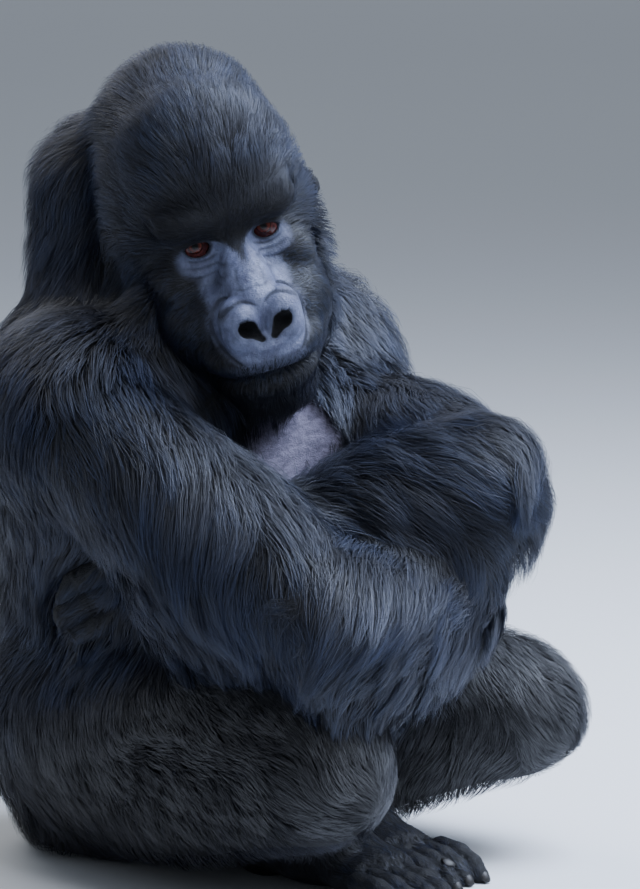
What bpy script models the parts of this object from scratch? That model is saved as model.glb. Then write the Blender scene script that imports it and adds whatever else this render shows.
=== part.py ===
"""A silverback mountain gorilla seated on the floor with folded arms, as a life-size still model.

The solids are the body's outer form, out to the tips of its coat. Each named part of the body is one solid.
A part is built from ellipsoids and tapered limbs that a voxel Remesh fuses, and Booleans then part it from
its neighbours by a thin cut. Metres, +Z up, the chest faces -Y, and the animal's left is +X.
"""

import math

import bmesh
import bpy
from mathutils import Euler, Matrix, Vector

# Fineness
CUT = 0.0004  # air between two neighbouring parts
HEAD_VOXEL = 0.0036
BODY_VOXEL = 0.009
HAND_VOXEL = 0.005
TRUNK_VOXEL = 0.012
EAR_VOXEL = 0.003
TRIANGLES = {
    "head": 1900,
    "neck": 220,
    "trunk": 780,
    "ear": 110,
    "upper_arm": 235,
    "forearm": 220,
    "hand": 320,
    "thigh": 220,
    "lower_leg": 165,
    "foot": 375,
}

# Joints of the seated skeleton. Right is the animal's right, at -X.
HIP = {"right": (-0.120, 0.065, 0.146), "left": (0.120, 0.065, 0.142)}
KNEE = {"right": (-0.172, -0.314, 0.156), "left": (0.205, -0.220, 0.152)}
ANKLE = {"right": (-0.045, -0.135, 0.062), "left": (0.055, -0.080, 0.062)}
SHOULDER = {"right": (-0.215, -0.030, 0.470), "left": (0.165, 0.000, 0.440)}
ELBOW = {"right": (-0.185, -0.355, 0.315), "left": (0.032, -0.340, 0.428)}
WRIST = {"right": (0.102, -0.276, 0.279), "left": (-0.140, -0.150, 0.355)}

HAIR_HANGS = {"right": 0.065, "left": 0.035}  # the long hair below each upper arm
ELBOW_HANGS = {"right": 0.035, "left": 0.062}  # and below each elbow

# The head is modelled level and facing -Y, with its origin midway between the eyes, and is then turned.
HEAD_AT = (-0.111, -0.126, 0.664)
HEAD_TURN = (12.0, -16.0, -30.0)  # degrees: nod forward, lean to its right, look to its right
EYE_APART = 0.072
EYE_RADIUS = 0.0145
EYE_BACK = 0.004  # the eyeball's centre behind the head's origin

SIDES = (("right", -1), ("left", 1))

FINISHES = {
    "coat": ((0.020, 0.023, 0.034), 0.75),
    "skin": ((0.060, 0.065, 0.095), 0.50),
    "eye": ((0.055, 0.015, 0.008), 0.10),
}


def material(name):
    """A Principled material, made once for each finish."""
    made = bpy.data.materials.get(name)
    if made:
        return made
    colour, roughness = FINISHES[name]
    made = bpy.data.materials.new(name)
    made.use_nodes = True
    shader = made.node_tree.nodes["Principled BSDF"]
    shader.inputs["Base Color"].default_value = (*colour, 1)
    shader.inputs["Roughness"].default_value = roughness
    shader.inputs["Metallic"].default_value = 0.0
    return made


def ball(shape, centre, radii, turn=(0, 0, 0), place=Matrix()):
    """Adds an ellipsoid to a bmesh. turn is in degrees."""
    spin = Euler([math.radians(a) for a in turn]).to_matrix().to_4x4()
    size = Matrix.Diagonal((*radii, 1))
    where = place @ Matrix.Translation(centre) @ spin @ size
    bmesh.ops.create_icosphere(shape, subdivisions=4, radius=1, matrix=where)


def limb(shape, stations, place=Matrix()):
    """Adds a tapered limb: a ball at each (point, radius) and a cone from each to the next."""
    for point, radius in stations:
        ball(shape, point, (radius,) * 3, place=place)
    for (start, wide), (end, narrow) in zip(stations, stations[1:]):
        along = Vector(end) - Vector(start)
        aim = along.to_track_quat("Z", "Y").to_matrix().to_4x4()
        middle = Matrix.Translation((Vector(start) + Vector(end)) / 2)
        bmesh.ops.create_cone(
            shape,
            cap_ends=True,
            segments=32,
            radius1=wide,
            radius2=narrow,
            depth=along.length,
            matrix=place @ middle @ aim,
        )


def both(shape, centre, radii, turn=(0, 0, 0)):
    """Adds an ellipsoid and its mirror image across the head's middle."""
    for _, side in SIDES:
        mirrored = (turn[0], turn[1] * side, turn[2] * side)
        ball(shape, (centre[0] * side, *centre[1:]), radii, mirrored)


def between(a, b, share):
    return Vector(a).lerp(Vector(b), share)


def new_object(name, mesh, finish="coat"):
    mesh.materials.clear()
    mesh.materials.append(material(finish))
    obj = bpy.data.objects.new(name, mesh)
    bpy.context.scene.collection.objects.link(obj)
    return obj


def from_bmesh(name, shape, finish="coat"):
    mesh = bpy.data.meshes.new(name)
    shape.to_mesh(mesh)
    shape.free()
    return new_object(name, mesh, finish)


def applied(obj):
    """Replaces an object's mesh by what its modifiers make of it."""
    graph = bpy.context.evaluated_depsgraph_get()
    made = bpy.data.meshes.new_from_object(obj.evaluated_get(graph))
    obj.modifiers.clear()
    obj.data = made
    return obj


def fuse(name, shape, voxel, rounds, finish="coat"):
    """One closed skin round the overlapping shapes, rounded where they meet."""
    obj = from_bmesh(name, shape, finish)
    remesh = obj.modifiers.new("fuse", "REMESH")
    remesh.mode = "VOXEL"
    remesh.voxel_size = voxel
    smooth = obj.modifiers.new("round", "SMOOTH")
    smooth.factor = 0.5
    smooth.iterations = rounds
    return applied(obj)


def thin_out(obj, kind):
    """Brings a fused mesh down to about the triangles that its kind is given."""
    now = sum(len(face.vertices) - 2 for face in obj.data.polygons)
    decimate = obj.modifiers.new("thin", "DECIMATE")
    decimate.ratio = min(1.0, TRIANGLES[kind] / now)
    decimate.use_collapse_triangulate = True
    return applied(obj)


def edit(obj, change):
    """Runs change on the object's bmesh."""
    shape = bmesh.new()
    shape.from_mesh(obj.data)
    change(shape)
    shape.to_mesh(obj.data)
    shape.free()
    return obj


def stand_on_floor(obj):
    """Cuts the part level at the floor, so that it rests on a flat."""

    def cut(shape):
        parts = [*shape.verts, *shape.edges, *shape.faces]
        cut_made = bmesh.ops.bisect_plane(
            shape, geom=parts, plane_co=(0, 0, 0), plane_no=(0, 0, -1), clear_outer=True
        )
        rim = [part for part in cut_made["geom_cut"] if isinstance(part, bmesh.types.BMEdge)]
        if rim:
            bmesh.ops.holes_fill(shape, edges=rim, sides=0)
            bmesh.ops.triangulate(shape, faces=shape.faces)

    return edit(obj, cut)


def keep_largest(obj):
    """Drops crumbs that a cut leaves beside the part."""

    def drop(shape):
        left, islands = set(shape.verts), []
        while left:
            island, edge_of = set(), [left.pop()]
            while edge_of:
                vertex = edge_of.pop()
                island.add(vertex)
                near = {edge.other_vert(vertex) for edge in vertex.link_edges} & left
                left -= near
                edge_of += near
            islands.append(island)
        islands.sort(key=lambda island: sum(face.calc_area() for v in island for face in v.link_faces))
        crumbs = [vertex for island in islands[:-1] for vertex in island]
        bmesh.ops.delete(shape, geom=crumbs, context="VERTS")

    return edit(obj, drop)


def grown(obj, by):
    """A hidden copy of a part, larger all round, for cutting its neighbours."""
    copy = new_object(obj.name + "_cutter", obj.data.copy())
    copy.hide_render = True
    copy.display_type = "WIRE"

    def swell(shape):
        shape.normal_update()
        for vertex, normal in [(v, v.normal.copy()) for v in shape.verts]:
            vertex.co += normal * by

    return edit(copy, swell)


def boxes_meet(a, b):
    boxes = []
    for obj in (a, b):
        corners = [vertex.co for vertex in obj.data.vertices]
        boxes.append([(min(c[i] for c in corners), max(c[i] for c in corners)) for i in range(3)])
    return all(low < high_b and low_b < high for (low, high), (low_b, high_b) in zip(*boxes))


def subtract(obj, cutter):
    boolean = obj.modifiers.new("part", "BOOLEAN")
    boolean.operation = "DIFFERENCE"
    boolean.solver = "EXACT"
    boolean.object = cutter
    return keep_largest(applied(obj))


def part_from_neighbours(parts):
    """Stands the parts on the floor and cuts each by all those before it in the list, with a thin gap."""
    cutters = [grown(obj, CUT) for obj in parts]
    for index, obj in enumerate(parts):
        stand_on_floor(obj)
        for cutter in cutters[:index]:
            if boxes_meet(obj, cutter):
                subtract(obj, cutter)
    for cutter in cutters:
        bpy.data.objects.remove(cutter)


def frame(origin, along, up):
    """A place whose -Y points along a limb and whose +Z is as near up as it can be."""
    y = -(Vector(along).normalized())
    x = y.cross(Vector(up)).normalized()
    z = x.cross(y)
    turned = Matrix((x, y, z)).transposed().to_4x4()
    return Matrix.Translation(origin) @ turned


# ---------------------------------------------------------------- head

NOSTRIL = (0.0185, -0.0870, -0.0725)
NOSTRIL_TURN = (20, -30, 14)  # degrees: the outer end is higher and further back
NOSTRIL_SIZE = (0.0150, 0.0140, 0.0062)
MOUTH = (0, -0.048, -0.1215)
MOUTH_SIZE = (0.054, 0.050, 0.0022)
EAR_AT = (0.106, 0.104, -0.012)
EAR_SIZE = (0.013, 0.019, 0.026)
EAR_TURN = 30  # degrees that the ear's face opens forward


def head_place():
    nod, lean, look = (math.radians(a) for a in HEAD_TURN)
    turned = Matrix.Rotation(look, 4, "Z") @ Matrix.Rotation(nod, 4, "X") @ Matrix.Rotation(lean, 4, "Y")
    return Matrix.Translation(HEAD_AT) @ turned


def skull_forms(shape):
    """Braincase, crest, chewing muscles and nape under their hair."""
    ball(shape, (0, 0.105, 0.025), (0.114, 0.125, 0.110))
    ball(shape, (0, 0.070, 0.060), (0.098, 0.094, 0.094))
    ball(shape, (0, 0.148, 0.067), (0.101, 0.112, 0.101), (-6, 0, 0))
    ball(shape, (0, 0.034, 0.056), (0.086, 0.050, 0.054))
    ball(shape, (0, 0.200, 0.012), (0.108, 0.088, 0.135))
    both(shape, (0.068, 0.078, -0.034), (0.050, 0.084, 0.102))
    both(shape, (0.058, 0.060, -0.105), (0.054, 0.066, 0.070))


def face_forms(shape):
    """Brow ridge, cheekbones, nose, muzzle, lips and chin."""
    ball(shape, (0, 0.006, 0.034), (0.078, 0.032, 0.021))
    both(shape, (0.044, 0.004, 0.031), (0.040, 0.032, 0.022), (0, 12, -14))
    ball(shape, (0, 0.028, -0.038), (0.084, 0.044, 0.064))
    both(shape, (0.054, 0.014, -0.038), (0.034, 0.028, 0.030), (0, 0, -18))
    limb(shape, [((0, 0.002, 0.000), 0.019), ((0, -0.034, -0.034), 0.025), ((0, -0.054, -0.054), 0.026)])
    both(shape, (0.0230, -0.061, -0.073), (0.0245, 0.026, 0.0310), (0, 16, 0))
    ball(shape, (0, -0.068, -0.092), (0.029, 0.020, 0.013))
    ball(shape, (0, -0.008, -0.078), (0.068, 0.054, 0.050))
    ball(shape, (0, -0.034, -0.106), (0.066, 0.054, 0.030))
    both(shape, (0.044, 0.016, -0.088), (0.050, 0.052, 0.054))
    ball(shape, (0, -0.026, -0.139), (0.058, 0.050, 0.026))
    ball(shape, (0, -0.002, -0.170), (0.065, 0.056, 0.040))
    ball(shape, (0, 0.035, -0.130), (0.082, 0.076, 0.064))


def face_hollows(shape):
    """Eye sockets and the folds beside the nose."""
    both(shape, (EYE_APART / 2, -0.020, -0.001), (0.021, 0.020, 0.0125), (0, 0, -12))


def face_openings(shape):
    """Nostrils and the closed mouth's groove, cut sharp."""
    for _, side in SIDES:
        where = Matrix.Translation((NOSTRIL[0] * side, *NOSTRIL[1:]))
        lift, slant, splay = (math.radians(a) for a in NOSTRIL_TURN)
        turn = Euler((lift, slant * side, splay * side)).to_matrix().to_4x4()
        size = Matrix.Diagonal((*NOSTRIL_SIZE, 1))
        bmesh.ops.create_icosphere(shape, subdivisions=2, radius=1, matrix=where @ turn @ size)
    where = Matrix.Translation(MOUTH) @ Matrix.Diagonal((*MOUTH_SIZE, 1))
    bmesh.ops.create_icosphere(shape, subdivisions=2, radius=1, matrix=where)


def make_head():
    shape = bmesh.new()
    skull_forms(shape)
    face_forms(shape)
    head = fuse("head", shape, HEAD_VOXEL, 4)
    shape = bmesh.new()
    face_hollows(shape)
    hollows = from_bmesh("hollows", shape)
    subtract(head, hollows)
    bpy.data.objects.remove(hollows)
    remesh = head.modifiers.new("again", "REMESH")
    remesh.mode = "VOXEL"
    remesh.voxel_size = HEAD_VOXEL
    smooth = head.modifiers.new("round", "SMOOTH")
    smooth.factor = 0.5
    smooth.iterations = 5
    applied(head)
    thin_out(head, "head")
    shape = bmesh.new()
    face_openings(shape)
    openings = from_bmesh("openings", shape)
    subtract(head, openings)
    bpy.data.objects.remove(openings)
    return head


def make_eye(name, side):
    shape = bmesh.new()
    where = Matrix.Translation((EYE_APART / 2 * side, EYE_BACK, 0))
    bmesh.ops.create_icosphere(shape, subdivisions=2, radius=EYE_RADIUS, matrix=where)
    return from_bmesh("eye_" + name, shape, "eye")


def make_ear(name, side):
    """A small rounded ear, set far back and turned out."""
    shape = bmesh.new()
    ball(shape, (EAR_AT[0] * side, *EAR_AT[1:]), EAR_SIZE, (0, 0, EAR_TURN * side))
    return thin_out(fuse("ear_" + name, shape, EAR_VOXEL, 3, "skin"), "ear")


def make_head_parts():
    eyes = [make_eye(name, side) for name, side in SIDES]
    head = make_head()
    ears = [make_ear(name, side) for name, side in SIDES]
    for obj in (*eyes, head, *ears):
        obj.data.transform(head_place())
    return eyes, head, ears


# ---------------------------------------------------------------- body

def make_neck():
    shape = bmesh.new()
    ball(shape, (-0.030, 0.080, 0.590), (0.160, 0.145, 0.145), (0, -8, 0))
    ball(shape, (-0.055, 0.092, 0.700), (0.116, 0.108, 0.106))
    ball(shape, (-0.060, -0.060, 0.520), (0.110, 0.080, 0.080))
    return thin_out(fuse("neck", shape, BODY_VOXEL, 10), "neck")


def make_trunk():
    shape = bmesh.new()
    ball(shape, (0, 0.080, 0.150), (0.240, 0.200, 0.196))
    ball(shape, (0, 0.050, 0.280), (0.240, 0.210, 0.200))
    ball(shape, (0, -0.025, 0.240), (0.230, 0.210, 0.185))
    ball(shape, (0, 0.045, 0.400), (0.256, 0.200, 0.200))
    ball(shape, (-0.010, 0.095, 0.480), (0.236, 0.150, 0.175))
    ball(shape, (-0.185, 0.015, 0.480), (0.125, 0.125, 0.130))
    ball(shape, (0.150, 0.030, 0.500), (0.120, 0.120, 0.130))
    return thin_out(fuse("trunk", shape, TRUNK_VOXEL, 20), "trunk")


def make_upper_arm(name):
    shoulder, elbow = Vector(SHOULDER[name]), Vector(ELBOW[name])
    shape = bmesh.new()
    limb(shape, [(shoulder, 0.104), (between(shoulder, elbow, 0.45), 0.096), (elbow, 0.083)])
    ball(shape, between(shoulder, elbow, 0.50) - Vector((0, 0, HAIR_HANGS[name])), (0.088, 0.130, 0.085))
    return thin_out(fuse("upper_arm_" + name, shape, BODY_VOXEL, 8), "upper_arm")


def make_forearm(name):
    elbow, wrist = Vector(ELBOW[name]), Vector(WRIST[name])
    shape = bmesh.new()
    limb(shape, [(elbow, 0.089), (between(elbow, wrist, 0.4), 0.088), (wrist, 0.058)])
    ball(shape, between(elbow, wrist, 0.10) - Vector((0, 0, ELBOW_HANGS[name])), (0.083, 0.078, 0.080))
    return thin_out(fuse("forearm_" + name, shape, BODY_VOXEL, 8), "forearm")


def finger_stations(base, spread, curl, lengths, radius):
    """Points along a finger that leaves base along -Y, splayed by spread and bending down at each joint."""
    point, down = Vector(base), 0.0
    stations = [(point.copy(), radius)]
    for step, length in enumerate(lengths):
        down += math.radians(curl[step])
        level = math.cos(down)
        aim = Vector((math.sin(spread) * level, -math.cos(spread) * level, -math.sin(down)))
        point = point + aim * length
        stations.append((point.copy(), radius * (1 - 0.07 * (step + 1))))
    return stations


def make_hand(name, side, along, up, curl):
    """Palm, four fingers bent by curl, and a short thumb on the inner side."""
    place = frame(WRIST[name], along, up)
    shape = bmesh.new()
    ball(shape, (0, -0.010, 0), (0.040, 0.040, 0.030), place=place)
    ball(shape, (0, -0.065, 0), (0.052, 0.065, 0.026), place=place)
    for index in range(4):
        across = -0.0345 + 0.023 * index
        reach = (0.046, 0.034, 0.026) if index in (1, 2) else (0.040, 0.030, 0.024)
        base = (across, -0.108, 0.0)
        limb(shape, finger_stations(base, across * 1.5, curl, reach, 0.0145), place)
    thumb = finger_stations((-0.044 * side, -0.050, -0.004), -0.5 * side, (12, 12), (0.030, 0.024), 0.0135)
    limb(shape, thumb, place)
    return thin_out(fuse("hand_" + name, shape, HAND_VOXEL, 3, "skin"), "hand")


def make_thigh(name):
    hip, knee = Vector(HIP[name]), Vector(KNEE[name])
    shape = bmesh.new()
    limb(shape, [(hip, 0.138), (between(hip, knee, 0.5), 0.127), (knee, 0.095)])
    return thin_out(fuse("thigh_" + name, shape, BODY_VOXEL, 8), "thigh")


def make_lower_leg(name):
    knee, ankle = Vector(KNEE[name]), Vector(ANKLE[name])
    shape = bmesh.new()
    limb(shape, [(between(knee, ankle, 0.1), 0.074), (between(knee, ankle, 0.4), 0.074), (ankle, 0.050)])
    return thin_out(fuse("lower_leg_" + name, shape, BODY_VOXEL, 8), "lower_leg")


def make_foot(name, side):
    """A flat sole with four toes and a big toe set apart like a thumb, on the inner side."""
    toe_out = {"right": (0.02, -1, 0), "left": (-0.10, -1, 0)}[name]
    heel = Vector(ANKLE[name]) + Vector((0, 0.035, -0.030))
    place = frame(heel, toe_out, (0, 0, 1))
    shape = bmesh.new()
    ball(shape, (0, -0.010, 0.004), (0.040, 0.046, 0.040), place=place)
    ball(shape, (0, -0.080, 0.008), (0.046, 0.090, 0.040), place=place)
    ball(shape, (0, -0.150, -0.004), (0.050, 0.055, 0.028), place=place)
    for index in range(4):
        across = (-0.014 + 0.0205 * index) * side
        base = (across, -0.185, -0.006)
        reach = (0.030, 0.024, 0.018) if index < 2 else (0.026, 0.021, 0.016)
        limb(shape, finger_stations(base, across * 1.2, (4, 16, 22), reach, 0.0135), place)
    big = finger_stations((-0.036 * side, -0.110, -0.006), -0.55 * side, (2, 8), (0.046, 0.034), 0.0175)
    limb(shape, big, place)
    return thin_out(fuse("foot_" + name, shape, HAND_VOXEL, 3, "skin"), "foot")


def build():
    for obj in list(bpy.data.objects):
        bpy.data.objects.remove(obj)
    eyes, head, ears = make_head_parts()
    hands = [
        make_hand("right", -1, (0.20, 0.95, -0.05), (0.95, -0.20, 0.20), (8, 22, 22)),
        make_hand("left", 1, (-0.55, 0.70, -0.45), (-0.45, -0.75, 0.3), (10, 14, 14)),
    ]
    feet = [make_foot(name, side) for name, side in SIDES]
    forearms = [make_forearm(name) for name, _ in SIDES]
    upper_arms = [make_upper_arm(name) for name, _ in SIDES]
    lower_legs = [make_lower_leg(name) for name, _ in SIDES]
    thighs = [make_thigh(name) for name, _ in SIDES]
    order = [*eyes, *ears, make_trunk(), make_neck(), *lower_legs, *thighs, *feet, *hands]
    part_from_neighbours([*order, *forearms, *upper_arms, head])


build()
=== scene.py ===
"""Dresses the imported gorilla: one sculpted skin, wet eyes, nails and a coat of solid tufts.

The CAD nodes are the animal's outer form, out to the tips of its coat. The skin is made from them: fused,
sunk by the depth of the coat, and sculpted over the face, ears, fingers and toes. The coat's tufts grow from
the skin and fill the depth again.
"""

import math

import bmesh
import bpy
import numpy as np
from bpy.props import FloatProperty, IntProperty, PointerProperty
from bpy.types import Operator, Panel, PropertyGroup
from mathutils import Euler, Matrix, Vector
from mathutils.bvhtree import BVHTree
from mathutils.kdtree import KDTree


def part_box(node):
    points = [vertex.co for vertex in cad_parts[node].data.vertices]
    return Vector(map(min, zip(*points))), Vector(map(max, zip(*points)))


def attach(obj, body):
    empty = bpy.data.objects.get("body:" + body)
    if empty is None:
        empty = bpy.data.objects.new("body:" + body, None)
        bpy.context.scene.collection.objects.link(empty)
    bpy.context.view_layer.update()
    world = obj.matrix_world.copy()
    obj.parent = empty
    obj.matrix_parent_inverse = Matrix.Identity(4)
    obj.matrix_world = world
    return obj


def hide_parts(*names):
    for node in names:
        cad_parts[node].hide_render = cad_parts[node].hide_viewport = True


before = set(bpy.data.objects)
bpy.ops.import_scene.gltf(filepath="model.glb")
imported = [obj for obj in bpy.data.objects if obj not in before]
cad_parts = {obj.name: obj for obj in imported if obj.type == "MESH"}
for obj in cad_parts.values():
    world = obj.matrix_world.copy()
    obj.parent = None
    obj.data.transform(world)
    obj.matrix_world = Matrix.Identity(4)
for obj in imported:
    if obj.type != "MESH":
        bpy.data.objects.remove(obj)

bl_info = {
    "name": "Seated gorilla",
    "version": (1, 0, 0),
    "blender": (4, 5, 0),
    "location": "View3D > Sidebar > Gorilla",
    "description": "Builds the skin, eyes, nails and coat of a seated gorilla round its solids",
    "category": "Object",
}

MM = 0.001
SEED = 7
EYES = ("eye_right", "eye_left")
FLESH = sorted(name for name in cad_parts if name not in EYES)

# The head is sculpted level and facing -Y, with its origin midway between the eyes, and is then turned.
HEAD_TURN = (12.0, -16.0, -30.0)  # degrees: nod forward, lean to its right, look to its right
EYE_RADIUS = 0.0145
EYE_BACK = 0.004  # the eyeball's centre behind the head's origin
SKIN_VOXEL = 0.0045
SKIN_TRIANGLES = 90000  # of the skin before its finer parts are split
DETAIL_REACH = 0.007  # how far, in metres, the skin moves to take on the form of an ear or a toe


def node_centre(name):
    low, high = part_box(name)
    return np.array((low + high) / 2)


def node_kind(name):
    """forearm_left is a forearm."""
    return name.replace("_left", "").replace("_right", "")


def head_frame():
    """(origin, turn) of the head. A row vector in the head's own axes times turn is in the world's."""
    nod, lean, look = (math.radians(a) for a in HEAD_TURN)
    turned = Matrix.Rotation(look, 3, "Z") @ Matrix.Rotation(nod, 3, "X") @ Matrix.Rotation(lean, 3, "Y")
    turn = np.array(turned).T
    middle = (node_centre(EYES[0]) + node_centre(EYES[1])) / 2
    return middle - np.array((0, EYE_BACK, 0)) @ turn, turn


HEAD_AT, TURN = head_frame()
EYE_APART = float(np.linalg.norm(node_centre(EYES[0]) - node_centre(EYES[1])))


def to_head(points):
    return (points - HEAD_AT) @ TURN.T


def from_head(points):
    return points @ TURN + HEAD_AT


# ---------------------------------------------------------------- small numeric helpers


def ease(value, low, high):
    """0 below low, 1 above high, and smooth between."""
    t = np.clip((value - low) / (high - low), 0, 1)
    return t * t * (3 - 2 * t)


def unit(vectors):
    return vectors / np.maximum(np.linalg.norm(vectors, axis=-1, keepdims=True), 1e-9)


def dot(a, b):
    return (a * b).sum(axis=-1, keepdims=True)


def join(a, b, width):
    """The smooth union of two distance fields, rounded over width."""
    h = np.clip(0.5 + 0.5 * (b - a) / width, 0, 1)
    return b + (a - b) * h - width * h * (1 - h)


def carve(a, b, width):
    """Field a with field b cut out of it, its rim rounded over width."""
    return -join(-a, b, width)


def mirrored(q):
    """Points folded over to the +X side."""
    return np.column_stack((np.abs(q[:, 0]), q[:, 1], q[:, 2]))


def ball(p, centre, radii, turn=(0, 0, 0)):
    """Distance to an ellipsoid. Sizes are in mm and turn in degrees."""
    spin = np.array(Euler([math.radians(a) for a in turn]).to_matrix())
    q = (p - np.array(centre) * MM) @ spin
    radii = np.array(radii) * MM
    near = np.linalg.norm(q / radii, axis=1)
    slope = np.linalg.norm(q / radii**2, axis=1)
    return near * (near - 1) / np.maximum(slope, 1e-6)


def rod(p, start, end, wide, narrow):
    """Distance to a tapered rod with round ends. Sizes are in mm."""
    a, b = np.array(start) * MM, np.array(end) * MM
    t = np.clip((p - a) @ (b - a) / ((b - a) @ (b - a)), 0, 1)
    reach = np.linalg.norm(p - a - t[:, None] * (b - a), axis=1)
    return reach - (wide + (narrow - wide) * t) * MM


class Surface:
    """A triangle mesh as arrays."""

    def __init__(self, mesh):
        mesh.calc_loop_triangles()
        self.at = np.zeros(len(mesh.vertices) * 3)
        mesh.vertices.foreach_get("co", self.at)
        self.at = self.at.reshape(-1, 3)
        self.tris = np.zeros(len(mesh.loop_triangles) * 3, int)
        mesh.loop_triangles.foreach_get("vertices", self.tris)
        self.tris = self.tris.reshape(-1, 3)
        self.edges = np.zeros(len(mesh.edges) * 2, int)
        mesh.edges.foreach_get("vertices", self.edges)
        self.edges = self.edges.reshape(-1, 2)

    def normals(self):
        a, b, c = (self.at[self.tris[:, i]] for i in range(3))
        face = np.cross(b - a, c - a)
        total = np.zeros_like(self.at)
        for corner in range(3):
            for axis in range(3):
                total[:, axis] += np.bincount(self.tris[:, corner], face[:, axis], len(self.at))
        return unit(total)

    def blur(self, values, rounds, share=0.5):
        """Moves each vertex's value towards its neighbours' mean. share may differ by vertex."""
        start, end = self.edges.T
        count = len(self.at)
        degree = np.bincount(start, minlength=count) + np.bincount(end, minlength=count)
        flat = values.reshape(count, -1).copy()
        share = np.broadcast_to(np.asarray(share, float), (count,))
        for _ in range(rounds):
            for column in flat.T:
                total = np.bincount(start, column[end], count) + np.bincount(end, column[start], count)
                column += share * (total / np.maximum(degree, 1) - column)
        return flat.reshape(values.shape)


# ---------------------------------------------------------------- Blender helpers


def link(name, mesh):
    obj = bpy.data.objects.new(name, mesh)
    bpy.context.scene.collection.objects.link(obj)
    return obj


def applied(obj):
    """Replaces an object's mesh by what its modifiers make of it."""
    graph = bpy.context.evaluated_depsgraph_get()
    made = bpy.data.meshes.new_from_object(obj.evaluated_get(graph))
    obj.modifiers.clear()
    old, obj.data = obj.data, made
    bpy.data.meshes.remove(old)
    return obj


def mesh_of(shape, name):
    """Keeps a bmesh as a mesh, and frees it."""
    mesh = bpy.data.meshes.new(name)
    shape.to_mesh(mesh)
    shape.free()
    return mesh


def put_points(mesh, at):
    mesh.vertices.foreach_set("co", at.ravel())
    mesh.update()


def put_attribute(mesh, name, values):
    """Keeps numbers or vectors on a mesh's vertices under a name."""
    vector = values.ndim == 2
    kept = mesh.attributes.new(name, "FLOAT_VECTOR" if vector else "FLOAT", "POINT")
    kept.data.foreach_set("vector" if vector else "value", values.astype(np.float32).ravel())


def shade_smooth(mesh):
    mesh.polygons.foreach_set("use_smooth", [True] * len(mesh.polygons))


def finished(obj, material, replaced=()):
    """Gives a piece its material and its place on the model."""
    obj.data.materials.clear()
    obj.data.materials.append(material)
    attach(obj, "root")
    if replaced:
        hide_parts(*replaced)
    return obj


# ---------------------------------------------------------------- skin: the body

# How deep the coat lies over each kind of part, in mm.
COAT_DEPTH = {
    "head": 10,
    "neck": 28,
    "trunk": 28,
    "upper_arm": 30,
    "forearm": 30,
    "thigh": 20,
    "lower_leg": 18,
    "hand": 3,
    "foot": 2,
    "ear": 0,
}
FLOOR_COAT = 0.05  # below this height the coat is pressed flat
FLOOR_SHARE = 0.12  # share of the coat's depth that is left at the floor
FACE_MIDDLE = np.array((0, -0.045, -0.050))  # in the head's axes
# Rounds of smoothing: over the CAD's facets, over flesh that long hair hides, and over the coat's depth.
FACET_ROUNDS, HIDDEN_ROUNDS, DEPTH_ROUNDS = 6, 40, 12
BARE_KINDS = ("hand", "foot", "ear", "head")  # these keep their form, and the rest is smoothed under its coat
# The bare parts of the face as ovals: across, up, half-width and half-height in mm, the same on both sides.
BARE_FACE = (
    (31, -12, 30, 19),
    (11, -42, 35, 34),
    (15, -74, 36, 33),
)


def frame_tree():
    """A search tree over the CAD flesh, and the name of each of its faces' nodes."""
    points, faces, owner = [], [], []
    for index, name in enumerate(FLESH):
        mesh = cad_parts[name].data
        first = len(points)
        points += [v.co.copy() for v in mesh.vertices]
        faces += [[first + i for i in face.vertices] for face in mesh.polygons]
        owner += [index] * len(mesh.polygons)
    return BVHTree.FromPolygons(points, faces), np.array(owner), (points, faces)


def owners(tree, owner, at):
    """The index in FLESH of the node nearest to each point."""
    return owner[[tree.find_nearest(Vector(p))[2] for p in at]]


def by_kind(owned, table):
    """A table by kind of part, spread to points by the node that owns each."""
    return np.array([table[node_kind(name)] for name in FLESH], float)[owned]


def bare_face(q):
    """1 on the bare skin round the eyes and on the nose, and 0 on hairy skin. q is in the head's axes."""
    x, y, z = np.abs(q[:, 0]), q[:, 1], q[:, 2]
    mask = np.full(len(q), 9.0)
    for across, up, wide, high in BARE_FACE:
        mask = np.minimum(mask, np.hypot((x - across * MM) / (wide * MM), (z - up * MM) / (high * MM)))
    return (1 - ease(mask, 0.74, 1.20)) * (1 - ease(y, 0.010, 0.040))


def thin_hair(q):
    """Up to half bare where the upper lip's short hair lets the skin show."""
    away = np.hypot(q[:, 0] / 0.050, (q[:, 2] + 0.112) / 0.013)
    return 0.60 * (1 - ease(away, 0.6, 1.2)) * (1 - ease(q[:, 1], 0.000, 0.030))


def head_depth(q):
    """The coat's depth on the head: none on the bare face, deepest over the crest."""
    away = np.linalg.norm(q - FACE_MIDDLE, axis=1)
    return (1 - bare_face(q)) * (0.002 + 0.020 * ease(away, 0.070, 0.190))


def coat_depth(at, owned):
    depth = by_kind(owned, COAT_DEPTH) * MM
    on_head = by_kind(owned, {kind: kind == "head" for kind in COAT_DEPTH})
    depth = np.where(on_head > 0, head_depth(to_head(at)), depth)
    return depth * (FLOOR_SHARE + (1 - FLOOR_SHARE) * ease(at[:, 2], 0, FLOOR_COAT))


def fused_flesh():
    """The flesh of the CAD model as one closed mesh."""
    _, _, (points, faces) = frame_tree()
    mesh = bpy.data.meshes.new("skin")
    mesh.from_pydata(points, [], faces)
    skin = link("skin", mesh)
    remesh = skin.modifiers.new("fuse", "REMESH")
    remesh.mode = "VOXEL"
    remesh.voxel_size = SKIN_VOXEL
    return applied(skin)


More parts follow.
